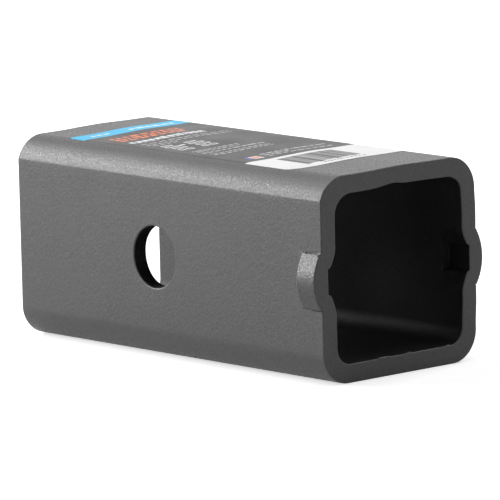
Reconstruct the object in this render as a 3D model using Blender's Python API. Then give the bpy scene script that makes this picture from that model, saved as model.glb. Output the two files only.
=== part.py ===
"""Hitch reducer sleeve: a square steel tube that lets a smaller drawbar fit a larger hitch receiver.

Units are metres and +Z is up. The tube runs along Y, and the end with the stop bumps faces -Y.
The origin lies under the middle of the tube, on the surface that the sleeve stands on.
"""

import math

import bmesh
import bpy

# Tube
TUBE_WIDTH = 0.0635
TUBE_LENGTH = 0.1397
WALL = 0.00584
RIM_EASE = 0.0004
INNER_CORNER_RADIUS = 0.00525

# Outer corners. The rise is how far from the tube's top or bottom face the rounding meets the side face:
# where it is less than the radius, the two meet in a slight crease that runs the length of the tube.
LEFT_CORNER_RADIUS = 0.01025
LEFT_UPPER_RISE = 0.0070
LEFT_LOWER_RISE = 0.0086
RIGHT_UPPER_RADIUS = 0.0102
RIGHT_LOWER_RADIUS = 0.0098

# Scraped weld seam, a shallow groove along the inside of the top wall
SEAM_DEPTH = 0.00075
SEAM_OFFSET = -0.0020
SEAM_STEEP_WIDTH = 0.0045
SEAM_GENTLE_WIDTH = 0.0085

# Stop bumps, pressed out of both side walls at the front end
BUMP_HALF_WIDTH = 0.0086
BUMP_HEIGHT = 0.0033
BUMP_SHEAR_STEP = 0.00035
BUMP_SHEAR_WIDTH = 0.00025
BUMP_CREST_LENGTH = 0.0072
BUMP_FOOT_LENGTH = 0.0092

# Pockets that the press tool left behind the bumps
POCKET_DEPTH = 0.0032
POCKET_SHOULDER_DEPTH = 0.0020
POCKET_FLOOR_HALF_WIDTH = 0.0038
POCKET_SHOULDER_HALF_WIDTH = 0.0045
POCKET_MOUTH_HALF_WIDTH = 0.0092
POCKET_FLOOR_LENGTH = 0.0089
POCKET_MOUTH_LENGTH = 0.0093

# Pin hole through both side walls
PIN_HOLE_DIAMETER = 0.01905
PIN_HOLE_FROM_REAR = 0.0635
PIN_HOLE_OUTER_EASE = 0.0004
PIN_HOLE_INNER_BREAK = 0.0010
CUTTER_MARGIN = 0.001

# Label stuck on the top face
LABEL_LENGTH = 0.1050
LABEL_WIDTH = 0.0498
LABEL_FROM_FRONT = 0.0203
LABEL_CORNER_RADIUS = 0.0030
LABEL_THICKNESS = 0.00025
LABEL_GAP = 0.0003

# Fineness of the round stretches
CORNER_STEPS = 8
BUMP_STEPS = 12
SEAM_STEPS = 10
HOLE_STEPS = 48
LABEL_BEND_STEPS = 8
SHARP_ANGLE = math.radians(30)

HALF_WIDTH = TUBE_WIDTH / 2
INNER_HALF = HALF_WIDTH - WALL
FRONT_Y = -TUBE_LENGTH / 2
REAR_Y = TUBE_LENGTH / 2


def clear_scene():
    for item in list(bpy.data.objects):
        bpy.data.objects.remove(item, do_unlink=True)


def make_material(name, color, roughness, metallic):
    material = bpy.data.materials.new(name)
    material.use_nodes = True
    shader = material.node_tree.nodes["Principled BSDF"]
    shader.inputs["Base Color"].default_value = (*color, 1.0)
    shader.inputs["Roughness"].default_value = roughness
    shader.inputs["Metallic"].default_value = metallic
    return material


def make_object(name, bm, material):
    """Turn a finished bmesh into a smooth-shaded object with its own material."""
    bmesh.ops.recalc_face_normals(bm, faces=bm.faces)
    mesh = bpy.data.meshes.new(name)
    bm.to_mesh(mesh)
    bm.free()
    mesh.shade_smooth()
    mesh.set_sharp_from_angle(angle=SHARP_ANGLE)
    mesh.materials.append(material)
    item = bpy.data.objects.new(name, mesh)
    bpy.context.scene.collection.objects.link(item)
    return item


def corner_run(radius, rise):
    """Distance from the virtual corner to where its rounding meets the top or bottom face."""
    return math.sqrt(2 * radius * rise - rise * rise)


def corner_points(half, radius, rise, side, level):
    """Corner arc from the side face to the top or bottom face; side and level are the signs of x and z."""
    run = corner_run(radius, rise)
    start = math.atan2(radius - rise, run)
    points = []
    for step in range(CORNER_STEPS + 1):
        angle = start + (math.pi / 2 - start) * step / CORNER_STEPS
        x = half - run + radius * math.cos(angle)
        z = half - radius + radius * math.sin(angle)
        points.append((side * x, level * z))
    return points


def bump_levels():
    """Heights of the points across a stop bump, from its lower edge to its upper edge."""
    levels = [-BUMP_HALF_WIDTH - BUMP_SHEAR_WIDTH]
    for step in range(BUMP_STEPS + 1):
        levels.append(BUMP_HALF_WIDTH * (2 * step / BUMP_STEPS - 1))
    levels.append(BUMP_HALF_WIDTH + BUMP_SHEAR_WIDTH)
    return levels


def bump_height(z):
    """How far the bump's crest stands out of the side face at height z."""
    if abs(z) > BUMP_HALF_WIDTH:
        return 0.0
    rise = BUMP_HEIGHT - BUMP_SHEAR_STEP
    radius = (BUMP_HALF_WIDTH ** 2 + rise ** 2) / (2 * rise)
    return BUMP_HEIGHT - radius + math.sqrt(radius ** 2 - z ** 2)


def pocket_levels():
    """Heights of the points across a pocket, as many as a bump has."""
    half_points = [
        POCKET_MOUTH_HALF_WIDTH,
        (POCKET_MOUTH_HALF_WIDTH + POCKET_SHOULDER_HALF_WIDTH) / 2,
        POCKET_SHOULDER_HALF_WIDTH,
        POCKET_FLOOR_HALF_WIDTH,
    ]
    middle_count = len(bump_levels()) - 2 * len(half_points)
    middle = []
    for step in range(1, middle_count + 1):
        middle.append(POCKET_FLOOR_HALF_WIDTH * (2 * step / (middle_count + 1) - 1))
    return [-z for z in half_points] + middle + half_points[::-1]


def pocket_depth(z):
    """How deep the pocket is cut into the inside of the side wall at height z."""
    distance = abs(z)
    if distance <= POCKET_FLOOR_HALF_WIDTH:
        return POCKET_DEPTH
    if distance <= POCKET_SHOULDER_HALF_WIDTH:
        share = (distance - POCKET_FLOOR_HALF_WIDTH) / (POCKET_SHOULDER_HALF_WIDTH - POCKET_FLOOR_HALF_WIDTH)
        return POCKET_DEPTH + share * (POCKET_SHOULDER_DEPTH - POCKET_DEPTH)
    share = (distance - POCKET_SHOULDER_HALF_WIDTH) / (POCKET_MOUTH_HALF_WIDTH - POCKET_SHOULDER_HALF_WIDTH)
    return POCKET_SHOULDER_DEPTH * max(0.0, 1 - share)


def seam_places():
    """Places across the top wall where the seam groove's points lie, from right to left."""
    right = SEAM_OFFSET + SEAM_GENTLE_WIDTH
    left = SEAM_OFFSET - SEAM_STEEP_WIDTH
    return [right + (left - right) * step / SEAM_STEPS for step in range(SEAM_STEPS + 1)]


def seam_depth(x):
    """Depth of the scraped seam groove, steep on its left and gentle on its right."""
    width = SEAM_GENTLE_WIDTH if x > SEAM_OFFSET else SEAM_STEEP_WIDTH
    share = min(1.0, abs(x - SEAM_OFFSET) / width)
    return SEAM_DEPTH * (1 + math.cos(math.pi * share)) / 2


def outer_section(bump_share):
    """Outline of the tube's outside in X and Z, anticlockwise; bump_share fades the bumps in, from 0 to 1."""
    levels = bump_levels()
    points = corner_points(HALF_WIDTH, RIGHT_LOWER_RADIUS, RIGHT_LOWER_RADIUS, 1, -1)[::-1]
    points += [(HALF_WIDTH + bump_share * bump_height(z), z) for z in levels]
    points += corner_points(HALF_WIDTH, RIGHT_UPPER_RADIUS, RIGHT_UPPER_RADIUS, 1, 1)
    points += [(x, HALF_WIDTH) for x in seam_places()]
    points += corner_points(HALF_WIDTH, LEFT_CORNER_RADIUS, LEFT_UPPER_RISE, -1, 1)[::-1]
    points += [(-HALF_WIDTH - bump_share * bump_height(z), z) for z in levels[::-1]]
    points += corner_points(HALF_WIDTH, LEFT_CORNER_RADIUS, LEFT_LOWER_RISE, -1, -1)
    return points


def inner_section(pocket_share):
    """Outline of the bore, point for point beside the outer one; pocket_share fades the pockets in."""
    levels = pocket_levels()
    corners = {}
    for side in (-1, 1):
        for level in (-1, 1):
            corners[side, level] = corner_points(INNER_HALF, INNER_CORNER_RADIUS, INNER_CORNER_RADIUS, side, level)
    points = corners[1, -1][::-1]
    points += [(INNER_HALF + pocket_share * pocket_depth(z), z) for z in levels]
    points += corners[1, 1]
    points += [(x, INNER_HALF + seam_depth(x)) for x in seam_places()]
    points += corners[-1, 1][::-1]
    points += [(-INNER_HALF - pocket_share * pocket_depth(z), z) for z in levels[::-1]]
    points += corners[-1, -1]
    return points


def offset_section(points, distance):
    """Move an anticlockwise outline outwards by distance, or inwards where it is negative."""
    moved = []
    for index, (x, z) in enumerate(points):
        before = points[index - 1]
        after = points[(index + 1) % len(points)]
        along_x = after[0] - before[0]
        along_z = after[1] - before[1]
        length = math.hypot(along_x, along_z)
        moved.append((x + distance * along_z / length, z - distance * along_x / length))
    return moved


def add_ring(bm, points, y):
    return [bm.verts.new((x, y, z + HALF_WIDTH)) for x, z in points]


def join_rings(bm, first, second):
    count = len(first)
    for index in range(count):
        after = (index + 1) % count
        bm.faces.new((first[index], first[after], second[after], second[index]))


def build_tube_body():
    """Loft the wall around its section: along the outside, over the rear rim and back through the bore."""
    bm = bmesh.new()
    crest = outer_section(1.0)
    plain = outer_section(0.0)
    pocket = inner_section(1.0)
    bore = inner_section(0.0)
    rings = [
        add_ring(bm, offset_section(crest, -RIM_EASE), FRONT_Y),
        add_ring(bm, crest, FRONT_Y + RIM_EASE),
        add_ring(bm, crest, FRONT_Y + BUMP_CREST_LENGTH),
        add_ring(bm, plain, FRONT_Y + BUMP_FOOT_LENGTH),
        add_ring(bm, plain, REAR_Y - RIM_EASE),
        add_ring(bm, offset_section(plain, -RIM_EASE), REAR_Y),
        add_ring(bm, offset_section(bore, RIM_EASE), REAR_Y),
        add_ring(bm, bore, REAR_Y - RIM_EASE),
        add_ring(bm, bore, FRONT_Y + POCKET_MOUTH_LENGTH),
        add_ring(bm, pocket, FRONT_Y + POCKET_FLOOR_LENGTH),
        add_ring(bm, pocket, FRONT_Y + RIM_EASE),
        add_ring(bm, offset_section(pocket, RIM_EASE), FRONT_Y),
    ]
    for index in range(len(rings)):
        join_rings(bm, rings[index - 1], rings[index])
    return bm


def build_pin_hole_cutter():
    """A turned cutter along X, wider at each wall's outer mouth and at its inner edge."""
    bore_radius = PIN_HOLE_DIAMETER / 2
    half_profile = [
        (HALF_WIDTH + CUTTER_MARGIN, bore_radius + PIN_HOLE_OUTER_EASE + CUTTER_MARGIN),
        (HALF_WIDTH - PIN_HOLE_OUTER_EASE, bore_radius),
        (INNER_HALF + PIN_HOLE_INNER_BREAK, bore_radius),
        (INNER_HALF - CUTTER_MARGIN, bore_radius + PIN_HOLE_INNER_BREAK + CUTTER_MARGIN),
    ]
    profile = [(-x, radius) for x, radius in half_profile] + half_profile[::-1]
    centre_y = REAR_Y - PIN_HOLE_FROM_REAR
    bm = bmesh.new()
    rings = []
    for x, radius in profile:
        ring = []
        for step in range(HOLE_STEPS):
            angle = 2 * math.pi * (step + 0.5) / HOLE_STEPS
            y = centre_y + radius * math.cos(angle)
            z = HALF_WIDTH + radius * math.sin(angle)
            ring.append(bm.verts.new((x, y, z)))
        rings.append(ring)
    for first, second in zip(rings, rings[1:]):
        join_rings(bm, first, second)
    bm.faces.new(rings[0])
    bm.faces.new(rings[-1])
    return bm


def build_sleeve():
    steel = make_material("powder_coated_steel", (0.13, 0.13, 0.135), 0.5, 0.2)
    sleeve = make_object("sleeve_tube", build_tube_body(), steel)
    cutter = make_object("pin_hole_cutter", build_pin_hole_cutter(), steel)
    cutter.hide_render = True
    cutter.display_type = "WIRE"
    hole = sleeve.modifiers.new("pin_hole", "BOOLEAN")
    hole.operation = "DIFFERENCE"
    hole.solver = "EXACT"
    hole.object = cutter
    return sleeve


def upper_corner(side):
    """Radius and rise of the tube's upper corner on the side whose x has that sign."""
    if side < 0:
        return LEFT_CORNER_RADIUS, LEFT_UPPER_RISE
    return RIGHT_UPPER_RADIUS, RIGHT_UPPER_RADIUS


def top_flat_end(side):
    """How far from the middle the tube's flat top ends on that side."""
    radius, rise = upper_corner(side)
    return HALF_WIDTH - corner_run(radius, rise)


def top_drop(x):
    """How far the tube's outside at x lies below its flat top."""
    radius, _ = upper_corner(x)
    past_flat = max(0.0, abs(x) - top_flat_end(x))
    return radius - math.sqrt(radius ** 2 - past_flat ** 2)


def label_places(side):
    """Distances from the middle of the label's cross lines on that side, closer together near its edge."""
    half = LABEL_WIDTH / 2
    start = min(top_flat_end(side), half - LABEL_CORNER_RADIUS)
    places = []
    for step in range(LABEL_BEND_STEPS + 1):
        places.append(start + (half - start) * math.sin(math.pi / 2 * step / LABEL_BEND_STEPS))
    return places


def build_label():
    """A thin sheet that lies over the top face and bends down with the roundings at both sides."""
    straight = LABEL_WIDTH / 2 - LABEL_CORNER_RADIUS
    front = FRONT_Y + LABEL_FROM_FRONT
    rear = front + LABEL_LENGTH
    bm = bmesh.new()
    rings = []
    for x in [-place for place in label_places(-1)[::-1]] + label_places(1):
        into_corner = max(0.0, abs(x) - straight)
        shorter = LABEL_CORNER_RADIUS - math.sqrt(max(0.0, LABEL_CORNER_RADIUS ** 2 - into_corner ** 2))
        low = TUBE_WIDTH - top_drop(x) + LABEL_GAP
        high = low + LABEL_THICKNESS
        corners = ((front + shorter, low), (rear - shorter, low), (rear - shorter, high), (front + shorter, high))
        rings.append([bm.verts.new((x, y, z)) for y, z in corners])
    for first, second in zip(rings, rings[1:]):
        join_rings(bm, first, second)
    bm.faces.new(rings[0])
    bm.faces.new(rings[-1])
    film = make_material("label_film", (0.06, 0.06, 0.065), 0.35, 0.0)
    return make_object("top_label", bm, film)


def main():
    clear_scene()
    build_sleeve()
    build_label()


main()
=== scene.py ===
"""The looks of the hitch reducer sleeve: its powder-coated steel body and the printed label on its top.

Shapes are worked out in millimetres. A section gives (across, up) from the tube's centre line, a station is
the distance back from the front end, and a mesh is turned into the row frame, in metres, when it is made.
"""

import math

import bmesh
import bpy
import numpy as np
from mathutils import Euler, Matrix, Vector, noise


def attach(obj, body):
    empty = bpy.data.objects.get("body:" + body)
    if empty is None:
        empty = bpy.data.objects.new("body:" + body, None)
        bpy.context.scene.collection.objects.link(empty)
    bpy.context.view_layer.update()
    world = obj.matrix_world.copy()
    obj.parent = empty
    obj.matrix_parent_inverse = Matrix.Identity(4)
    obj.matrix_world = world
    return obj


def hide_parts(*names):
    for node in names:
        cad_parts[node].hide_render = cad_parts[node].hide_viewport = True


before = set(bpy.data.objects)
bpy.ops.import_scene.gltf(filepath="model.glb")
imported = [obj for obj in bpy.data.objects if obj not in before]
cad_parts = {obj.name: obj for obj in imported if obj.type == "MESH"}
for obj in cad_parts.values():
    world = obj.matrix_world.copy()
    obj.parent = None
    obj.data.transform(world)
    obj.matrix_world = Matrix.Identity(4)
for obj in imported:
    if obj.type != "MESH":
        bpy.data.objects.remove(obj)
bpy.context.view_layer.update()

MM = 0.001

# Noise behind the irregular values: step between seeds, fixed third place, factor that widens its range
SEED_STEP = 7.31
NOISE_PLACE = 0.5
NOISE_GAIN = 1.6

# Tube
WIDTH = 63.5
LENGTH = 139.7
WALL = 5.84
HALF = WIDTH / 2
BORE_HALF = HALF - WALL
RIM_ROUND = 0.35
RIM_ANGLES = np.radians((90, 72, 54, 36, 18))
RIM_FLAT_RING = 0.5
BODY_SHARP_ANGLE = 40

# Corners by the signs of across and up: radius, rise along the side face, softness of the crease there
OUTER_CORNERS = {
    (1, -1): (9.8, 9.8, 0.5),
    (1, 1): (10.2, 10.2, 0.5),
    (-1, 1): (10.25, 7.0, 0.4),
    (-1, -1): (10.25, 8.6, 1.3),
}
BORE_CORNERS = {
    (1, -1): (5.25, 5.25, 0.4),
    (1, 1): (5.25, 5.25, 0.4),
    (-1, 1): (6.6, 6.6, 0.4),
    (-1, -1): (5.25, 5.25, 0.4),
}
CREASE_STEPS = 5
ARC_STEPS = 14

# Weld seam scraped off the inside of the top wall, and the shallower scrape from it to the right
SEAM_PLACE = -2.0
SEAM_DEPTH = 0.48
SEAM_LEFT = 9.0
SEAM_RIGHT = 5.6
SEAM_UNEVEN = 0.12
SEAM_UNEVEN_SIZE = 9.0
SEAM_SEED = 5
SEAM_SIDE_DEPTH = 0.14
SEAM_SIDE_END = 18.0
SEAM_SIDE_RUN = 3.0

# Lumps of coat on the bore's floor along its front edge
LUMP_SIZE = 1.5
LUMP_HEIGHT = 0.65
LUMP_RUN = 1.3
LUMP_BEGIN = -16.0
LUMP_FADE = 8.0
LUMP_SEED = 8

# Stop bumps, by the sign of across: crest height, radius and lift of its middle
CREST_HALF = 8.5
CRESTS = {-1: (3.3, 14.2, 0.1), 1: (2.8, 15.2, 0.0)}
CREST_END = 7.6
CREST_RUN = 2.2
CREST_ROUNDING = 0.45
LOW_ROUNDING = 0.4
LOW_ROUNDING_BEGIN = 6.0
LOW_ROUNDING_RUN = 2.5
LEVEL_TOLERANCE = 1e-6

# Sheared edges of the bumps, by the sign of up: lip, groove beyond it, and height, size and seed of the waves
SHEAR_LIP = {-1: 0.0, 1: 0.16}
LIP_UNEVEN = 1.1
LIP_UNEVEN_SIZE = 0.6
LIP_SEEDS = {-1: 2, 1: 4}
SHEAR_GROOVE = {-1: (-0.3, 0.0), 1: (-0.03, -0.05)}
GROOVE_LEVELS = (8.62, 8.78)
GROOVE_END = 4.0
GROOVE_RUN = 2.5
SHEAR_PLACE = 8.65
SHEAR_REACH = 0.25
SHEAR_WAVES = {-1: (0.04, 1.6, 2), 1: (0.16, 0.8, 1)}

# Burr at the front of the upper sheared edge: height by the sign of across, and its share at each level
BURR_HEIGHTS = {-1: 0.75, 1: 0.0}
BURR_RUN = 1.0
BURR_LEVELS = ((CREST_HALF, 0.9), (GROOVE_LEVELS[0], 1.0), (GROOVE_LEVELS[1], 0.4))

# Pockets behind the bumps
POCKET_DEPTH = 3.15
POCKET_SHOULDER = 2.0
POCKET_SHOULDER_CURVE = 1.6
POCKET_MOUTHS = {-1: 10.6, 1: 9.8}
POCKET_HALF = 4.45
POCKET_STEP_RUN = 0.7
POCKET_END = 8.9
POCKET_RUN = 0.38
POCKET_BACK_CURVE = 0.25
SHOULDER_FADE = (2.5, 6.0)

# The top wall crowns right of its middle and drops towards its left side. Both fade in with the level
CROWN_PLACE = 3.0
CROWN_RISE = 0.2
CROWN_WIDTH = 8.0
CROWN_DROP = 0.2
CROWN_DROP_BEGIN = 4.0
CROWN_DROP_RUN = 12.0
TOP_BEGIN = 20.0
TOP_RUN = 8.0

# The right wall leans out at the front: more above its middle, less at its top, not at its foot
LEAN_LOW = 0.42
LEAN_FOOT = -21.0
LEAN_FOOT_RUN = 9.0
LEAN_MORE = 0.25
LEAN_MORE_RUN = 14.0
LEAN_TOP_LOSS = 0.4
LEAN_TOP = 15.0
LEAN_TOP_RUN = 6.0
LEAN_SIDE = 22.0
LEAN_SIDE_RUN = 4.0
LEAN_BEGIN = 3.0
LEAN_END = 25.0

# Pin hole, and the square patch of faces round it
HOLE_RADIUS = 9.65
HOLE_STATION = 75.85
HOLE_MOUTH_ROUND = 0.4
HOLE_MOUTH_ANGLES = np.radians((0, 22.5, 45, 67.5, 90))
HOLE_INNER_BREAK = 1.0
PATCH_HALF = 14.0
PATCH_ROWS = 29
PATCH_SHARES = (0.3, 0.6, 0.85, 1.0)
PATCH_GAP = 0.15

# Stations behind the front rounding, close together where a bump or a pocket ends
OUTER_FRONT_STATIONS = np.array(
    [RIM_ROUND, 0.7, 1.2, 2.0, 2.9, 3.8, 4.7, 5.4, *np.arange(5.9, 9.5, 0.2), 9.8, 10.5, 11.5, 13.0]
)
BORE_FRONT_STATIONS = np.array(
    [RIM_ROUND, 0.7, 1.5, 3.0, 5.0, 7.0, 8.3, *np.arange(8.7, 9.5, 0.08), 9.8, 11.0, 13.0]
)
ROWS_BEFORE_PATCH = 20
ROWS_BEHIND_PATCH = 18
REAR_STEPS = (0.8, 0.25)

# The body's material slots: the coat outside, the bore's coat with painted shade and painted light, and the
# pin hole wall's coat with painted shade
COAT_OUTSIDE, COAT_BORE, COAT_HOLE = range(3)

# Label
LABEL_WIDTH = 49.8
LABEL_HALF = LABEL_WIDTH / 2
LABEL_FRONT = 20.1
LABEL_REAR = 125.1
LABEL_CORNERS = (4.0, 2.0)
LABEL_CORNER_STEPS = 12
LABEL_PAST_CORNER = 0.5
LABEL_THICKNESS = 0.06
LABEL_LIFT = 0.01
LABEL_SHIFT = (0.38, 0.37)
LABEL_TURN = 0.0075
LABEL_LEAN = 0.0275
LABEL_LEAN_MORE = 0.0225
LABEL_END_GAP = 0.3
LABEL_PLAIN_STEP = 8.0
LABEL_PLAIN_END = 6.0
LABEL_MERGE_GAP = 0.06
LABEL_SHARP_ANGLE = 30


def smooth_step(value):
    value = np.clip(value, 0.0, 1.0)
    return value * value * (3 - 2 * value)


def wander(place, size, seed):
    """A smooth irregular value, mostly between -1 and 1, that changes over about size along place."""
    return noise.noise(Vector((place / size, seed * SEED_STEP, NOISE_PLACE))) * NOISE_GAIN


class Shape:
    """Points and faces gathered until they become one mesh."""

    def __init__(self):
        self.points = []
        self.faces = []
        self.slots = []

    def row(self, points):
        first = len(self.points)
        self.points.extend(tuple(point) for point in points)
        return list(range(first, first + len(points)))

    def face(self, corners, slot=0):
        self.faces.append(corners)
        self.slots.append(slot)

    def join(self, first, second, slot=0):
        count = len(first)
        for index in range(count):
            after = (index + 1) % count
            self.face((first[index], first[after], second[after], second[index]), slot)

    def finish(self, name, materials, sharp_angle):
        """Make the object, in metres in the row frame."""
        places = np.array(self.points)
        places[:, 1] -= LENGTH / 2
        places[:, 2] += HALF
        mesh = bpy.data.meshes.new(name)
        mesh.from_pydata([tuple(place) for place in places * MM], [], self.faces)
        for polygon, slot in zip(mesh.polygons, self.slots):
            polygon.material_index = slot
        bm = bmesh.new()
        bm.from_mesh(mesh)
        unused = [vert for vert in bm.verts if not vert.link_faces]
        bmesh.ops.delete(bm, geom=unused, context="VERTS")
        bmesh.ops.recalc_face_normals(bm, faces=bm.faces)
        bm.to_mesh(mesh)
        bm.free()
        mesh.shade_smooth()
        mesh.set_sharp_from_angle(angle=math.radians(sharp_angle))
        for material in materials:
            mesh.materials.append(material)
        item = bpy.data.objects.new(name, mesh)
        bpy.context.scene.collection.objects.link(item)
        return item


def corner_line(half, radius, rise, soft, across, up):
    """Points from the side face, over its crease and round the corner to the top or bottom face."""
    run = math.sqrt(2 * radius * rise - rise ** 2)
    first = math.atan2(radius - rise, run) + soft / radius
    start = np.array((half, half - rise - soft))
    crease = np.array((half, half - rise))
    centre = np.array((half - run, half - radius))
    angles = np.linspace(first, math.pi / 2, ARC_STEPS + 1)
    arc = centre + radius * np.stack((np.cos(angles), np.sin(angles)), axis=1)
    shares = np.linspace(0, 1, CREASE_STEPS + 1)[:-1, None]
    bend = (1 - shares) ** 2 * start + 2 * shares * (1 - shares) * crease + shares ** 2 * arc[0]
    return np.concatenate((bend, arc)) * (across, up)


def both_ways(half_levels):
    """Levels on both sides of zero from those above it."""
    upper = np.array(half_levels)
    return np.concatenate((-upper[:0:-1], upper))


# As many levels outside as inside, so that the sections match point for point
OUTER_LEVELS = both_ways(
    [*np.linspace(0, CREST_HALF, 13), *GROOVE_LEVELS, 9.0, 9.4, 10.2, 11.3, 12.6, PATCH_HALF]
)
BORE_LEVELS = both_ways(
    [0, 0.75, 1.5, 2.25, 3.0, 3.75, 3.95, 4.2, 4.45, 4.8, 5.3, 5.9, 6.5, 7.2, 8.0, 8.9, 9.8, 10.6, 11.6,
     12.7, PATCH_HALF]
)

# Points of a section: extra ones at a side face's ends, steps across the top, closer at the seam, and bottom
SIDE_ENDS = 3
TOP_STEPS = (7, 22, 6)
TOP_SEAM_ENDS = (6.5, -7.5)
BOTTOM_STEPS = 48


def side_line(level_ends, levels):
    """Levels up a side face, without its two ends."""
    below = np.linspace(level_ends[0], levels[0], SIDE_ENDS + 2)[1:-1]
    above = np.linspace(levels[-1], level_ends[1], SIDE_ENDS + 2)[1:-1]
    return np.concatenate((below, levels, above))


def top_line(right, left):
    """Places across a top face from right to left, without its two ends, close together at the seam."""
    seam_right, seam_left = TOP_SEAM_ENDS
    parts = (
        np.linspace(right, seam_right, TOP_STEPS[0] + 1)[1:-1],
        np.linspace(seam_right, seam_left, TOP_STEPS[1] + 1),
        np.linspace(seam_left, left, TOP_STEPS[2] + 1)[1:-1],
    )
    return np.concatenate(parts)


def crest_height(level, across):
    """How far a stop bump's crest stands out at a level."""
    height, radius, lift = CRESTS[across]
    return height - radius + np.sqrt(radius ** 2 - (level - lift) ** 2)


def bump_out(levels, station, across):
    """How far the side face stands out at a station, for the levels of its middle part."""
    size = np.abs(levels)
    heights = np.zeros(len(levels))
    crest = size <= CREST_HALF + LEVEL_TOLERANCE
    heights[crest] = crest_height(levels[crest], across)
    open_share = 1 - smooth_step((station - GROOVE_END) / GROOVE_RUN)
    for sign in (-1, 1):
        end = crest_height(sign * CREST_HALF, across)
        ragged = 1 + LIP_UNEVEN * wander(station, LIP_UNEVEN_SIZE, LIP_SEEDS[sign])
        heights[np.isclose(levels, sign * CREST_HALF)] = end + SHEAR_LIP[sign] * ragged
        for level, groove in zip(GROOVE_LEVELS, SHEAR_GROOVE[sign]):
            heights[np.isclose(levels, sign * level)] = groove * open_share
    burr = BURR_HEIGHTS[across] * math.exp(-(station / BURR_RUN) ** 2)
    for level, share in BURR_LEVELS:
        heights[np.isclose(levels, level)] += burr * share
    low = np.clip((-levels - LOW_ROUNDING_BEGIN) / LOW_ROUNDING_RUN, 0, 1)
    rounding = CREST_ROUNDING * (size / CREST_HALF) ** 3 + LOW_ROUNDING * low ** 2
    return heights * (1 - smooth_step((station - CREST_END + rounding) / CREST_RUN))


def pocket_out(levels, station):
    """How deep the pocket is at a station, for the levels of the bore's middle part."""
    size = np.abs(levels)
    mouth = np.where(levels < 0, POCKET_MOUTHS[-1], POCKET_MOUTHS[1])
    slope = np.clip((size - POCKET_HALF) / (mouth - POCKET_HALF), 0, 1)
    begin, run = SHOULDER_FADE
    fade = 1 - smooth_step((station - begin) / run)
    shoulder = POCKET_SHOULDER * (1 - slope) ** POCKET_SHOULDER_CURVE * fade
    step = smooth_step((POCKET_HALF - size) / POCKET_STEP_RUN)
    past_end = station - POCKET_END + POCKET_BACK_CURVE * (size / POCKET_HALF) ** 4
    return shoulder + (POCKET_DEPTH - shoulder) * step * (1 - smooth_step(past_end / POCKET_RUN))


def shear_shift(levels, station):
    """Ragged shift of the levels beside a bump's sheared edges."""
    near = np.exp(-((np.abs(levels) - SHEAR_PLACE) / SHEAR_REACH) ** 2)
    waves = {}
    for sign, (height, size, seed) in SHEAR_WAVES.items():
        waves[sign] = height * wander(station, size, seed)
    return near * np.where(levels > 0, waves[1], waves[-1])


def seam_up(places, station):
    """How far the bore's top wall is scraped away across its width."""
    width = np.where(places > SEAM_PLACE, SEAM_RIGHT, SEAM_LEFT)
    share = np.clip(np.abs(places - SEAM_PLACE) / width, 0, 1)
    uneven = 1 + SEAM_UNEVEN * wander(station, SEAM_UNEVEN_SIZE, SEAM_SEED)
    groove = SEAM_DEPTH * uneven * (1 + np.cos(math.pi * share)) / 2
    beside = smooth_step((places - SEAM_PLACE + SEAM_SIDE_RUN) / SEAM_SIDE_RUN)
    beside = beside * smooth_step((SEAM_SIDE_END - places) / SEAM_SIDE_RUN)
    return groove + SEAM_SIDE_DEPTH * beside


def lump_up(places, station):
    """How high the lumps of coat stand on the bore's floor at its front edge."""
    sizes = np.array([max(0.0, wander(place, LUMP_SIZE, LUMP_SEED)) for place in places])
    sizes = sizes * smooth_step((places - LUMP_BEGIN) / LUMP_FADE)
    return LUMP_HEIGHT * sizes * math.exp(-(station / LUMP_RUN) ** 2)


def crown(places):
    """How far the top wall lies above its flat level across its width."""
    rise = CROWN_RISE * np.exp(-((places - CROWN_PLACE) / CROWN_WIDTH) ** 2)
    return rise - CROWN_DROP * smooth_step((-places - CROWN_DROP_BEGIN) / CROWN_DROP_RUN)


def settle(section, station):
    """The section with its top wall crowned and its right wall leaning out."""
    across, up = section.T
    lifted = up + crown(across) * smooth_step((up - TOP_BEGIN) / TOP_RUN)
    foot = smooth_step((up - LEAN_FOOT) / LEAN_FOOT_RUN)
    lean = foot * (LEAN_LOW + LEAN_MORE * smooth_step(up / LEAN_MORE_RUN))
    lean = lean * (1 - LEAN_TOP_LOSS * smooth_step((up - LEAN_TOP) / LEAN_TOP_RUN))
    lean = lean * smooth_step((across - LEAN_SIDE) / LEAN_SIDE_RUN)
    moved = across + lean * (1 - smooth_step((station - LEAN_BEGIN) / (LEAN_END - LEAN_BEGIN)))
    return np.stack((moved, lifted), axis=1)


def tube_section(half, corner_sizes, levels, out, top_up, bottom_up):
    """Points anticlockwise round the tube's outside or inside, from the bottom of its right lower corner.

    levels are those of a side face's middle part, and out says how far it stands out there, by the sign of
    across. top_up and bottom_up give how far the top and the bottom lie above their flat level.
    """
    corners = {key: corner_line(half, *sizes, *key) for key, sizes in corner_sizes.items()}
    sides = {}
    for across in (1, -1):
        ends = (corners[across, -1][0, 1], corners[across, 1][0, 1])
        side_levels = side_line(ends, levels)
        side_out = np.full(len(side_levels), half)
        side_out[SIDE_ENDS:-SIDE_ENDS] += out[across]
        sides[across] = np.stack((across * side_out, side_levels), axis=1)
    top = top_line(corners[1, 1][-1, 0], corners[-1, 1][-1, 0])
    bottom = np.linspace(corners[-1, -1][-1, 0], corners[1, -1][-1, 0], BOTTOM_STEPS + 1)[1:-1]
    parts = (
        corners[1, -1][::-1],
        sides[1],
        corners[1, 1],
        np.stack((top, half + top_up(top)), axis=1),
        corners[-1, 1][::-1],
        sides[-1][::-1],
        corners[-1, -1],
        np.stack((bottom, bottom_up(bottom) - half), axis=1),
    )
    return np.concatenate(parts)


def outer_section(station):
    """The outside of the tube at a station."""
    levels = OUTER_LEVELS + shear_shift(OUTER_LEVELS, station)
    out = {across: bump_out(OUTER_LEVELS, station, across) for across in (1, -1)}
    section = tube_section(HALF, OUTER_CORNERS, levels, out, np.zeros_like, np.zeros_like)
    return settle(section, station)


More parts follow.
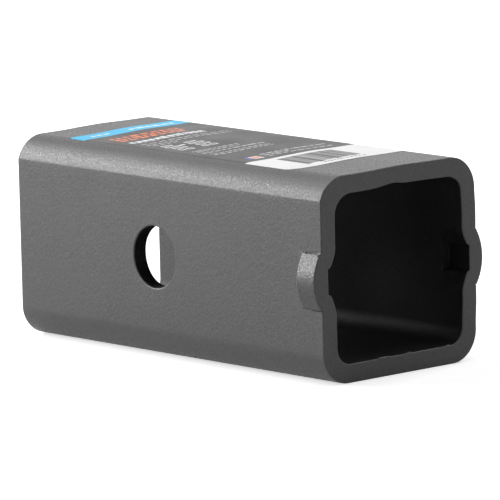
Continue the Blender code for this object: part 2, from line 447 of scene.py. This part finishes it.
def bore_section(station):
    """The inside of the tube at a station, point for point beside the outside."""
    depth = pocket_out(BORE_LEVELS, station)

    def top_up(places):
        return seam_up(places, station)

    def bottom_up(places):
        return lump_up(places, station)

    out = {1: depth, -1: depth}
    return settle(tube_section(BORE_HALF, BORE_CORNERS, BORE_LEVELS, out, top_up, bottom_up), station)


def place_section(section, station):
    return np.stack((section[:, 0], np.full(len(section), station), section[:, 1]), axis=1)


def hole_stations():
    return np.linspace(HOLE_STATION - PATCH_HALF, HOLE_STATION + PATCH_HALF, PATCH_ROWS)


def body_stations(front_stations):
    """Stations from behind the front rounding to before the rear one."""
    hole = hole_stations()
    rear = LENGTH - RIM_ROUND
    parts = (
        front_stations,
        np.linspace(front_stations[-1], hole[0], ROWS_BEFORE_PATCH)[1:-1],
        hole,
        np.linspace(hole[-1], rear - REAR_STEPS[0], ROWS_BEHIND_PATCH)[1:],
        [rear - REAR_STEPS[1], rear],
    )
    return np.concatenate(parts)


def rim_rows(shape, edge, inwards, station, facing):
    """Rows of the rounding from the rim's flat end face back to a surface that starts at edge."""
    rows = []
    for angle in RIM_ANGLES:
        moved = edge + inwards * RIM_ROUND * (1 - math.cos(angle))
        rows.append(shape.row(place_section(moved, station + facing * RIM_ROUND * math.sin(angle))))
    return rows


def inward_steps(outside, inside):
    gap = inside - outside
    return gap / np.linalg.norm(gap, axis=1)[:, None]


def grid_rows(shape, section_at, stations):
    return [shape.row(place_section(section_at(station), station)) for station in stations]


def hole_loop(rows, stations, columns):
    """Indices round the square patch about the pin hole, in turn along its four sides."""
    hole = hole_stations()
    first = int(np.argmin(np.abs(stations - hole[0])))
    last = int(np.argmin(np.abs(stations - hole[-1])))
    loop = [rows[index][columns[0]] for index in range(first, last)]
    loop += [rows[last][column] for column in columns[:-1]]
    loop += [rows[index][columns[-1]] for index in range(last, first, -1)]
    loop += [rows[first][column] for column in columns[:0:-1]]
    return loop, (first, last)


def skin(shape, rows, holes, slot):
    """Faces between the rows, left out inside the square patches."""
    count = len(rows[0])
    for index, (first, second) in enumerate(zip(rows, rows[1:])):
        for column in range(count):
            after = (column + 1) % count
            if any(a <= index < b and low <= column < high for (a, b), (low, high) in holes):
                continue
            shape.face((first[column], first[after], second[after], second[column]), slot)


def side_columns(across):
    """First and last column of a side face's middle part in a section."""
    corner = CREASE_STEPS + ARC_STEPS + 1
    side = 2 * SIDE_ENDS + len(OUTER_LEVELS)
    top = sum(TOP_STEPS) - 1
    if across > 0:
        first = corner + SIDE_ENDS
    else:
        first = corner + side + corner + top + corner + SIDE_ENDS
    return first, first + len(OUTER_LEVELS) - 1


def pin_hole(shape, across, outer_loop, bore_loop):
    """The flat faces round the pin hole, its rounded mouth, its wall and its broken inner edge."""
    centre = np.array((HOLE_STATION, 0.0))

    def places(loop):
        return np.array([shape.points[index][1:] for index in loop]) - centre

    edge = places(outer_loop)
    angles = np.arctan2(edge[:, 1], edge[:, 0])
    circle = np.stack((np.cos(angles), np.sin(angles)), axis=1)

    def ring(out, flat):
        return shape.row([(across * out, *(centre + place)) for place in flat])

    def spread(loop, out, radius):
        """Rings from the patch's square edge to a circle just outside radius."""
        start = places(loop)
        rows = [loop]
        for share in PATCH_SHARES:
            rows.append(ring(out, start * (1 - share) + circle * (radius + PATCH_GAP) * share))
        return rows

    mouth = spread(outer_loop, HALF, HOLE_RADIUS + HOLE_MOUTH_ROUND)
    for angle in HOLE_MOUTH_ANGLES:
        radius = HOLE_RADIUS + HOLE_MOUTH_ROUND * (1 - math.sin(angle))
        mouth.append(ring(HALF - HOLE_MOUTH_ROUND * (1 - math.cos(angle)), circle * radius))
    wall = [mouth[-1], ring(BORE_HALF + HOLE_INNER_BREAK, circle * HOLE_RADIUS)]
    wall.append(ring(BORE_HALF, circle * (HOLE_RADIUS + HOLE_INNER_BREAK)))
    inner = [wall[-1]] + spread(bore_loop, BORE_HALF, HOLE_RADIUS + HOLE_INNER_BREAK)[::-1]
    # The hole's wall takes the coat with painted shade
    for slot, rows in ((COAT_OUTSIDE, mouth), (COAT_HOLE, wall), (COAT_BORE, inner)):
        for first, second in zip(rows, rows[1:]):
            shape.join(first, second, slot)


def close_end(shape, station, facing, outer_row, bore_row):
    """One end of the tube: its outer and inner rounding, and the flat rim between them."""
    outside = outer_section(station)
    inside = bore_section(station)
    inwards = inward_steps(outside, inside)
    outer_rim = rim_rows(shape, outside, inwards, station, facing) + [outer_row]
    bore_rim = rim_rows(shape, inside, -inwards, station, facing) + [bore_row]
    for rim in (outer_rim, bore_rim):
        for first, second in zip(rim, rim[1:]):
            shape.join(first, second)
    flat = []
    for edge, step in ((outside, inwards), (inside, -inwards)):
        moved = edge + step * (RIM_ROUND + RIM_FLAT_RING)
        flat.append(shape.row(place_section(moved, station + facing * RIM_ROUND)))
    shape.join(outer_rim[0], flat[0])
    shape.join(flat[0], flat[1])
    shape.join(flat[1], bore_rim[0])


def build_body(materials):
    outer_stations = body_stations(OUTER_FRONT_STATIONS)
    bore_stations = body_stations(BORE_FRONT_STATIONS)
    shape = Shape()
    outer_rows = grid_rows(shape, outer_section, outer_stations)
    bore_rows = grid_rows(shape, bore_section, bore_stations)
    patches = {"outer": [], "bore": []}
    for across in (1, -1):
        low, high = side_columns(across)
        columns = list(range(low, high + 1))
        outer_loop, rows = hole_loop(outer_rows, outer_stations, columns)
        patches["outer"].append((rows, (low, high)))
        bore_loop, rows = hole_loop(bore_rows, bore_stations, columns)
        patches["bore"].append((rows, (low, high)))
        pin_hole(shape, across, outer_loop, bore_loop)
    skin(shape, outer_rows, patches["outer"], COAT_OUTSIDE)
    skin(shape, bore_rows, patches["bore"], COAT_BORE)
    close_end(shape, RIM_ROUND, -1, outer_rows[0], bore_rows[0])
    close_end(shape, LENGTH - RIM_ROUND, 1, outer_rows[-1], bore_rows[-1])
    return shape.finish("sleeve_body", materials, BODY_SHARP_ANGLE)


def top_level(place):
    """How high the tube's outside lies at a place across its top."""
    radius, rise, _ = OUTER_CORNERS[(-1 if place < 0 else 1, 1)]
    flat_end = HALF - math.sqrt(2 * radius * rise - rise ** 2)
    past = max(0.0, abs(place) - flat_end)
    level = HALF - radius + math.sqrt(radius ** 2 - past ** 2)
    return level + float(crown(place) * smooth_step((level - TOP_BEGIN) / TOP_RUN))


# Print on the label, as plain fields in the label's own places: front, rear, right, left, ink
INKS = ("field", "white", "blue", "sky", "navy", "orange", "grey", "light", "shade", "bar", "edge")
PRINT = [
    (LABEL_FRONT, 41.9, LABEL_HALF, -LABEL_HALF, "white"),
    (117.5, LABEL_REAR, LABEL_HALF, -LABEL_HALF, "blue"),
    (84.0, 85.3, -11.4, -13.2, "light"),
    (45.2, 49.2, -13.4, -19.2, "light"),
    (45.2, 49.2, -17.2, -19.2, "navy"),
    (46.1, 48.4, -13.9, -16.7, "orange"),
]
# Rows of short marks: station of the middle, right end, left end, thickness, mark length, gap, ink
MARK_ROWS = [
    (121.2, -11.0, -18.8, 1.5, 1.9, 0.7, "sky"),
    (121.2, 17.5, -2.2, 1.9, 2.6, 0.7, "sky"),
    (111.2, 9.8, -19.6, 1.7, 2.7, 1.1, "orange"),
    (108.4, 9.4, -19.8, 1.6, 2.1, 0.9, "orange"),
    (105.8, 9.2, -19.8, 1.5, 3.0, 1.0, "orange"),
    (100.7, 11.6, -20.2, 2.7, 1.8, 0.65, "light"),
    (98.8, 11.0, -20.0, 1.0, 1.3, 0.8, "grey"),
    (95.4, 17.0, -20.2, 0.8, 2.4, 0.9, "grey"),
    (93.0, 16.4, -20.0, 0.8, 1.9, 0.8, "grey"),
    (90.7, -9.0, -19.6, 0.7, 2.2, 0.9, "grey"),
    (71.4, -0.6, -20.2, 1.0, 1.6, 0.6, "grey"),
    (69.3, -1.0, -20.0, 0.7, 1.9, 0.8, "grey"),
    (66.6, 6.4, -20.2, 1.1, 2.3, 0.7, "grey"),
    (63.4, 5.6, -20.0, 0.8, 1.5, 0.6, "grey"),
    (61.4, 5.4, -20.0, 0.9, 2.1, 0.7, "grey"),
    (50.2, 16.8, -11.0, 1.2, 1.8, 0.7, "grey"),
    (48.1, 0.6, -11.0, 0.9, 2.4, 0.8, "grey"),
    (46.2, 16.2, -10.6, 1.0, 2.1, 0.9, "grey"),
    (23.2, 9.4, -8.4, 1.0, 0.9, 0.55, "bar"),
]
MARK_STEP = 0.25
MARK_LEAST = 0.6

# How marks vary along a row: share of their length, size and seed of both waves, thick and thin factor
MARK_LENGTH_UNEVEN = 0.55
MARK_LENGTH_WAVE = (0.37, 11)
MARK_THICKNESS_WAVE = (0.61, 37)
MARK_THICK = 1.12
MARK_THIN = 0.88

# Two groups of outlined bars, by their left end: front, rear, left and right end of each bar
OUTLINE_WIDTH = 0.52
OUTLINE_GROUPS = (-19.8, -9.8)
OUTLINED_BARS = (
    (86.3, 88.0, 0.6, 5.2), (83.2, 85.3, 0.0, 2.6), (83.4, 85.1, 3.3, 6.2), (80.0, 82.2, 0.4, 4.0),
    (80.2, 82.0, 4.7, 6.1), (76.6, 79.0, 0.0, 2.2), (76.4, 78.6, 2.9, 5.7),
)

# Dark stripes on the white field: left and right side of each, their front and rear ends, and steps there
STRIPES = (
    (-14.2, -12.0), (-11.4, -11.0), (-10.2, -9.7), (-8.9, -6.8), (-5.0, -4.6), (-3.3, -2.3),
    (-1.8, 0.4), (1.0, 1.5), (2.3, 4.2), (4.8, 5.2), (5.8, 7.1), (7.9, 8.9),
)
STRIPE_ENDS = (24.6, 39.2)
STRIPE_FRONT_STEP = 0.35
STRIPE_REAR_STEP = 0.25
SHADE_INSET = 0.6


def mark_fields(row, station, right, left, thickness, length, gap, ink):
    """The short marks of one row, from left to right."""
    fields = []
    length_size, length_seed = MARK_LENGTH_WAVE
    thickness_size, thickness_seed = MARK_THICKNESS_WAVE
    place = left
    while place < right - MARK_LEAST:
        mark = len(fields)
        varied = length * (1 + MARK_LENGTH_UNEVEN * wander(mark, length_size, row + length_seed))
        end = min(place + max(varied, MARK_LEAST), right)
        thick = wander(mark, thickness_size, row + thickness_seed) > 0
        half = thickness / 2 * (MARK_THICK if thick else MARK_THIN)
        ends = [round(value / MARK_STEP) * MARK_STEP for value in (end, place)]
        fields.append((station - half, station + half, *ends, ink))
        place = end + gap
    return fields


def print_fields():
    """Every printed field, the later ones over the earlier ones."""
    fields = list(PRINT)
    begin, end = STRIPE_ENDS
    fields.append((begin + SHADE_INSET, end, STRIPES[-1][1], STRIPES[0][0], "shade"))
    for index, (left, right) in enumerate(STRIPES):
        front = begin + STRIPE_FRONT_STEP * (index % 3)
        rear = end - STRIPE_REAR_STEP * (index % 2)
        fields.append((front, rear, right, left, "bar"))
    inset = OUTLINE_WIDTH
    for group in OUTLINE_GROUPS:
        for front, rear, low, high in OUTLINED_BARS:
            left = group + low
            right = group + high
            fields.append((front, rear, right, left, "light"))
            fields.append((front + inset, rear - inset, right - inset, left + inset, "field"))
    for row, settings in enumerate(MARK_ROWS):
        fields += mark_fields(row, *settings)
    return fields


def label_point(place, station, above):
    """Where a place in the label's own frame lies on the tube. Its lines lean a little to the back right."""
    lean = LABEL_LEAN + LABEL_LEAN_MORE * (station - LABEL_FRONT) / (LABEL_REAR - LABEL_FRONT)
    across = place + LABEL_SHIFT[0] + LABEL_TURN * (station - LABEL_FRONT)
    return across, station + LABEL_SHIFT[1] + lean * place, top_level(across) + above


def merged(values):
    """Sorted values without those too close to the one kept before."""
    kept = []
    for value in sorted(values):
        if not kept or value - kept[-1] > LABEL_MERGE_GAP:
            kept.append(value)
    return kept


def corner_cut(place, radius):
    """How much a rounded corner shortens the label at a place across it."""
    into = max(0.0, abs(place) - (LABEL_HALF - radius))
    return radius - math.sqrt(max(0.0, radius ** 2 - into ** 2))


def label_places(fields):
    """Places across the label where its faces divide."""
    longest = max(LABEL_CORNERS)
    turns = [math.pi / 2 * step / LABEL_CORNER_STEPS for step in range(LABEL_CORNER_STEPS + 1)]
    edge = [LABEL_HALF - longest * (1 - math.sin(turn)) for turn in turns]
    ends = [place for _, _, right, left, _ in fields for place in (right, left)]
    return merged([*edge, *(-place for place in edge), *ends])


def label_stations(fields):
    """Stations along the label where its faces divide, with its two ends."""
    ends = [station for front, rear, *_ in fields for station in (front, rear)]
    inner = [end for end in ends if LABEL_FRONT + LABEL_END_GAP < end < LABEL_REAR - LABEL_END_GAP]
    plain = np.arange(LABEL_FRONT + LABEL_PLAIN_STEP, LABEL_REAR - LABEL_PLAIN_END, LABEL_PLAIN_STEP)
    return [LABEL_FRONT, *merged([*inner, *plain]), LABEL_REAR]


def ink_slot(fields, station, across):
    """The slot of the ink of the last field that covers a point of the label."""
    ink = "field"
    for front, rear, right, left, color in fields:
        if front < station < rear and left < across < right:
            ink = color
    return INKS.index(ink)


def outline(rows):
    """The points round a sheet of rows, in turn."""
    around = [row[0] for row in rows] + rows[-1][1:] + [row[-1] for row in rows[-2::-1]]
    return around + rows[0][-2:0:-1]


def build_label(materials):
    fields = print_fields()
    places = label_places(fields)
    stations = label_stations(fields)
    front_corner, rear_corner = LABEL_CORNERS
    plain = (LABEL_FRONT + front_corner + LABEL_PAST_CORNER, LABEL_REAR - rear_corner - LABEL_PAST_CORNER)
    full = (LABEL_FRONT, *plain, LABEL_REAR)
    edge_slot = INKS.index("edge")
    shape = Shape()
    top_rows = []
    low_rows = []
    for place in places:
        front = LABEL_FRONT + corner_cut(place, front_corner)
        rear = LABEL_REAR - corner_cut(place, rear_corner)
        moved = np.interp(stations, full, (front, *plain, rear))
        top_rows.append(shape.row([label_point(place, station, LABEL_THICKNESS) for station in moved]))
        low_rows.append(shape.row([label_point(place, station, LABEL_LIFT) for station in moved]))
    for column in range(len(places) - 1):
        across = (places[column] + places[column + 1]) / 2
        for index in range(len(stations) - 1):
            middle = (stations[index] + stations[index + 1]) / 2
            for rows, slot in ((top_rows, ink_slot(fields, middle, across)), (low_rows, edge_slot)):
                a, b = rows[column], rows[column + 1]
                shape.face((a[index], b[index], b[index + 1], a[index + 1]), slot)
    shape.join(outline(top_rows), outline(low_rows), edge_slot)
    return shape.finish("label_sheet", materials, LABEL_SHARP_ANGLE)


class Nodes:
    """Short ways to add and link shader nodes."""

    def __init__(self, tree):
        self.tree = tree

    def add(self, kind, **inputs):
        item = self.tree.nodes.new(kind)
        for name, value in inputs.items():
            self.set(item.inputs[name], value)
        return item

    def set(self, socket, value):
        if isinstance(value, bpy.types.NodeSocket):
            self.tree.links.new(value, socket)
        else:
            socket.default_value = value

    def math(self, operation, first, second):
        item = self.tree.nodes.new("ShaderNodeMath")
        item.operation = operation
        self.set(item.inputs[0], first)
        self.set(item.inputs[1], second)
        return item.outputs[0]

    def blend(self, first, second, share):
        """The sum of two values: share of the first and the rest of the second."""
        return self.math("ADD", self.math("MULTIPLY", first, share), self.math("MULTIPLY", second, 1 - share))

    def spread(self, value, low, high, to_low, to_high):
        item = self.tree.nodes.new("ShaderNodeMapRange")
        names = ("Value", "From Min", "From Max", "To Min", "To Max")
        for name, given in zip(names, (value, low, high, to_low, to_high)):
            self.set(item.inputs[name], given)
        return item.outputs[0]

    def mix(self, share, first, second):
        item = self.tree.nodes.new("ShaderNodeMix")
        item.data_type = "RGBA"
        self.set(item.inputs[0], share)
        self.set(item.inputs[6], first)
        self.set(item.inputs[7], second)
        return item.outputs[2]


def new_material(name):
    material = bpy.data.materials.new(name)
    material.use_nodes = True
    tree = material.node_tree
    tree.nodes.clear()
    nodes = Nodes(tree)
    output = nodes.add("ShaderNodeOutputMaterial")
    shader = nodes.add("ShaderNodeBsdfPrincipled")
    tree.links.new(shader.outputs[0], output.inputs[0])
    return material, nodes, shader, output


def noise_value(nodes, place, scale, detail=2.0, roughness=0.5):
    item = nodes.add("ShaderNodeTexNoise", Vector=place, Scale=scale, Detail=detail, Roughness=roughness)
    return item.outputs[0]


# Powder coat: the two ends of its shade outside, of the painted shade in the bore and on the pin hole's wall,
# and of the painted light at the rear of the bore
COAT_DARK = (0.040, 0.040, 0.0405, 1)
COAT_LIGHT = (0.064, 0.064, 0.065, 1)
PAINTED_SHADE_DARK = (0.004, 0.004, 0.004, 1)
PAINTED_SHADE_LIGHT = (0.009, 0.009, 0.009, 1)
BORE_REAR_LIT_DARK = (0.088, 0.088, 0.089, 1)
BORE_REAR_LIT_LIGHT = (0.148, 0.148, 0.149, 1)
# Where along the bore, in metres, the painted shade turns into the painted light, and how sharply
BORE_FADE = (-0.06, 0.055)
BORE_FADE_POWER = 3.0
# Roughness and specular levels of the coat outside and of the duller coat with painted shade
COAT_GLOSS = (0.28, 0.47)
PAINTED_SHADE_GLOSS = (0.5, 0.6)
COAT_SPECULAR = 0.5
PAINTED_SHADE_SPECULAR = 0.14

# Grain of the coat: noise scales, shares and the ranges of the noise that are used, and height of the bumps
GRAIN_SCALE = 1500.0
GRAIN_DETAIL = 3.0
GRAIN_ROUGHNESS = 0.6
GRAIN_SHARE = 0.7
PEEL_SCALE = 700.0
SPECK_SCALE = 1500.0
SPECK_SHARE = 0.85
CLOUD_SCALE = 60.0
CLOUD_DETAIL = 3.0
GLOSS_SCALE = 1700.0
SHADE_RANGE = (0.32, 0.68)
GLOSS_RANGE = (0.4, 0.6)
COAT_BUMP = 0.00011


def powder_coat(name, painted_shade=False, fade=False):
    """Fine-grained satin powder coat, slightly uneven in shade.

    Its darker, duller form is painted shade, far darker than the coat's own colour. With fade its colour
    turns into a lighter one towards the rear, as painted light.
    """
    material, nodes, shader, _ = new_material(name)
    place = nodes.add("ShaderNodeTexCoord").outputs["Object"]
    grain = noise_value(nodes, place, GRAIN_SCALE, GRAIN_DETAIL, GRAIN_ROUGHNESS)
    peel = noise_value(nodes, place, PEEL_SCALE)
    cloud = noise_value(nodes, place, CLOUD_SCALE, CLOUD_DETAIL)
    speck = noise_value(nodes, place, SPECK_SCALE)
    share = nodes.spread(nodes.blend(speck, cloud, SPECK_SHARE), *SHADE_RANGE, 0.0, 1.0)
    # Painted shade: a far darker colour for the bore and the pin hole's wall
    if painted_shade:
        color = nodes.mix(share, PAINTED_SHADE_DARK, PAINTED_SHADE_LIGHT)
    else:
        color = nodes.mix(share, COAT_DARK, COAT_LIGHT)
    # Painted light: the bore grows lighter towards its rear opening
    if fade:
        along = nodes.add("ShaderNodeSeparateXYZ", Vector=place)
        back = nodes.spread(along.outputs["Y"], *BORE_FADE, 0.0, 1.0)
        back = nodes.math("POWER", back, BORE_FADE_POWER)
        color = nodes.mix(back, color, nodes.mix(share, BORE_REAR_LIT_DARK, BORE_REAR_LIT_LIGHT))
    nodes.set(shader.inputs["Base Color"], color)
    gloss = noise_value(nodes, place, GLOSS_SCALE)
    gloss = nodes.spread(gloss, *GLOSS_RANGE, *(PAINTED_SHADE_GLOSS if painted_shade else COAT_GLOSS))
    nodes.set(shader.inputs["Roughness"], gloss)
    shader.inputs["Specular IOR Level"].default_value = PAINTED_SHADE_SPECULAR if painted_shade else COAT_SPECULAR
    height = nodes.blend(grain, peel, GRAIN_SHARE)
    bump = nodes.add("ShaderNodeBump", Height=height, Strength=1.0, Distance=COAT_BUMP)
    nodes.set(shader.inputs["Normal"], bump.outputs[0])
    return material


# Printed film: noise scales, how far its shade and roughness vary, specular levels, and height of the bumps
FILM_CLOUD_SCALE = 90.0
FILM_FINE_SCALE = 2200.0
FILM_DARKER = 0.9
FILM_LIGHTER = 1.1
FILM_SHADE_RANGE = (0.35, 0.65)
FILM_ROUGHNESS = 0.38
FILM_SMOOTHER = 0.04
FILM_ROUGHER = 0.06
FILM_GLOSS_RANGE = (0.3, 0.7)
FILM_SPECULAR = 0.4
FIELD_SPECULAR = 0.32
FILM_BUMP = 0.00005
FILM_BUMP_STRENGTH = 0.5


def film(ink):
    """Printed plastic film with slightly uneven ink and gloss."""
    material, nodes, shader, _ = new_material("label_" + ink)
    place = nodes.add("ShaderNodeTexCoord").outputs["Object"]
    cloud = noise_value(nodes, place, FILM_CLOUD_SCALE, CLOUD_DETAIL)
    fine = noise_value(nodes, place, FILM_FINE_SCALE)
    share = nodes.spread(nodes.blend(cloud, fine, 0.5), *FILM_SHADE_RANGE, 0.0, 1.0)
    darker = tuple(FILM_DARKER * part for part in INK_COLORS[ink]) + (1,)
    lighter = tuple(min(1.0, FILM_LIGHTER * part) for part in INK_COLORS[ink]) + (1,)
    nodes.set(shader.inputs["Base Color"], nodes.mix(share, darker, lighter))
    gloss = (FILM_ROUGHNESS - FILM_SMOOTHER, FILM_ROUGHNESS + FILM_ROUGHER)
    nodes.set(shader.inputs["Roughness"], nodes.spread(cloud, *FILM_GLOSS_RANGE, *gloss))
    specular = FIELD_SPECULAR if ink == "field" else FILM_SPECULAR
    shader.inputs["Specular IOR Level"].default_value = specular
    bump = nodes.add("ShaderNodeBump", Height=cloud, Strength=FILM_BUMP_STRENGTH, Distance=FILM_BUMP)
    nodes.set(shader.inputs["Normal"], bump.outputs[0])
    return material


INK_COLORS = {
    "field": (0.026, 0.026, 0.027),
    "white": (0.95, 0.95, 0.95),
    "blue": (0.025, 0.52, 0.86),
    "sky": (0.7, 0.92, 0.94),
    "navy": (0.08, 0.1, 0.32),
    "orange": (0.9, 0.2, 0.05),
    "grey": (0.5, 0.5, 0.5),
    "light": (0.9, 0.9, 0.9),
    "shade": (0.34, 0.34, 0.34),
    "bar": (0.05, 0.05, 0.05),
    "edge": (0.3, 0.3, 0.3),
}


# Softboxes round the sleeve: azimuth from -Y towards +X, elevation, distance, side, power
LAMPS = {
    "left_low": (230, 12, 0.9, 0.3, 3.5),
    "back_left": (220, 25, 2.0, 0.7, 6.8),
    "back": (200, 25, 2.0, 0.7, 17.2),
    "back_near": (190, 36, 0.9, 0.3, 1.1),
    "back_high": (180, 60, 2.0, 0.7, 5.2),
    "right": (90, 45, 2.0, 0.7, 14.0),
    "top": (0, 85, 2.0, 0.7, 7.0),
}
LAMP_TARGET = Vector((0.0, 0.0, 0.03))
AMBIENT = 0.01


def add_lamp(name, azimuth, elevation, distance, side, power):
    azimuth = math.radians(azimuth)
    elevation = math.radians(elevation)
    flat = math.cos(elevation)
    way = Vector((math.sin(azimuth) * flat, -math.cos(azimuth) * flat, math.sin(elevation)))
    lamp = bpy.data.lights.new(name, "AREA")
    lamp.shape = "SQUARE"
    lamp.size = side
    lamp.energy = power
    item = bpy.data.objects.new(name, lamp)
    item.location = LAMP_TARGET + way * distance
    item.rotation_euler = (-way).to_track_quat("-Z", "Y").to_euler()
    bpy.context.scene.collection.objects.link(item)


def light_studio():
    """The softboxes, and a world that is white to the camera and in reflections but lights almost nothing."""
    for name, settings in LAMPS.items():
        add_lamp(name, *settings)
    world = bpy.data.worlds.new("studio")
    world.use_nodes = True
    nodes = Nodes(world.node_tree)
    background = world.node_tree.nodes["Background"]
    background.inputs["Color"].default_value = (1, 1, 1, 1)
    rays = nodes.add("ShaderNodeLightPath").outputs
    seen = nodes.math("MAXIMUM", rays["Is Camera Ray"], rays["Is Transmission Ray"])
    seen = nodes.math("MAXIMUM", seen, rays["Is Glossy Ray"])
    nodes.set(background.inputs["Strength"], nodes.spread(seen, 0.0, 1.0, AMBIENT, 1.0))
    bpy.context.scene.world = world


# Floor: glow to the camera at its middle, rising to full over the pool, and the glow's share in reflections
FLOOR_RADIUS = 4.0
FLOOR_SEGMENTS = 96
FLOOR_COLOR = (0.9, 0.9, 0.9, 1)
FLOOR_ROUGHNESS = 0.9
FLOOR_SPECULAR = 0.1
FLOOR_GLOW = 0.6
FLOOR_GLOSSY = 0.4
FLOOR_POOL = (0.25, 1.1)


def build_floor():
    """A plain pale floor that stays white to the camera and keeps the sleeve's shadow."""
    material, nodes, shader, output = new_material("studio_floor")
    shader.inputs["Base Color"].default_value = FLOOR_COLOR
    shader.inputs["Roughness"].default_value = FLOOR_ROUGHNESS
    shader.inputs["Specular IOR Level"].default_value = FLOOR_SPECULAR
    rays = nodes.add("ShaderNodeLightPath").outputs
    seen = nodes.math("MAXIMUM", rays["Is Camera Ray"], rays["Is Transmission Ray"])
    seen = nodes.math("MAXIMUM", seen, nodes.math("MULTIPLY", rays["Is Glossy Ray"], FLOOR_GLOSSY))
    away = nodes.add("ShaderNodeVectorMath")
    away.operation = "LENGTH"
    nodes.set(away.inputs[0], nodes.add("ShaderNodeTexCoord").outputs["Object"])
    strength = nodes.spread(away.outputs["Value"], *FLOOR_POOL, FLOOR_GLOW, 1.0)
    glow = nodes.add("ShaderNodeEmission", Strength=nodes.math("MULTIPLY", seen, strength))
    both = nodes.add("ShaderNodeAddShader")
    nodes.tree.links.new(shader.outputs[0], both.inputs[0])
    nodes.tree.links.new(glow.outputs[0], both.inputs[1])
    nodes.tree.links.new(both.outputs[0], output.inputs[0])
    bm = bmesh.new()
    bmesh.ops.create_circle(bm, cap_ends=True, radius=FLOOR_RADIUS, segments=FLOOR_SEGMENTS)
    mesh = bpy.data.meshes.new("studio_floor")
    bm.to_mesh(mesh)
    bm.free()
    mesh.materials.append(material)
    floor = bpy.data.objects.new("studio_floor", mesh)
    bpy.context.scene.collection.objects.link(floor)


# Camera, from a fit to the photo's edges: sensor and lens in millimetres, place in metres, turn in degrees
CAMERA_SENSOR = 36.0
CAMERA_LENS = 481.0215
CAMERA_PLACE = (-1.360594, -1.519606, 0.360217)
CAMERA_TURN = (80.81594, 1.37200, -42.11037)
CAMERA_CLIP = (0.05, 50.0)


def add_camera():
    camera = bpy.data.cameras.new("camera")
    camera.sensor_width = CAMERA_SENSOR
    camera.lens = CAMERA_LENS
    camera.clip_start, camera.clip_end = CAMERA_CLIP
    item = bpy.data.objects.new("camera", camera)
    item.location = CAMERA_PLACE
    item.rotation_euler = Euler([math.radians(angle) for angle in CAMERA_TURN])
    bpy.context.scene.collection.objects.link(item)
    bpy.context.scene.camera = item


def main():
    scene = bpy.context.scene
    scene.view_settings.view_transform = "Standard"
    add_camera()
    light_studio()
    build_floor()
    coats = [
        powder_coat("powder_coat"),
        # The bore's coat carries painted shade and painted light, the hole wall's coat painted shade
        powder_coat("powder_coat_bore_painted_shade_and_light", painted_shade=True, fade=True),
        powder_coat("painted_shade_coat_hole", painted_shade=True),
    ]
    body = build_body(coats)
    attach(body, "root")
    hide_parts("sleeve_tube")
    label = build_label([film(ink) for ink in INKS])
    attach(label, "root")
    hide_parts("top_label")


main()
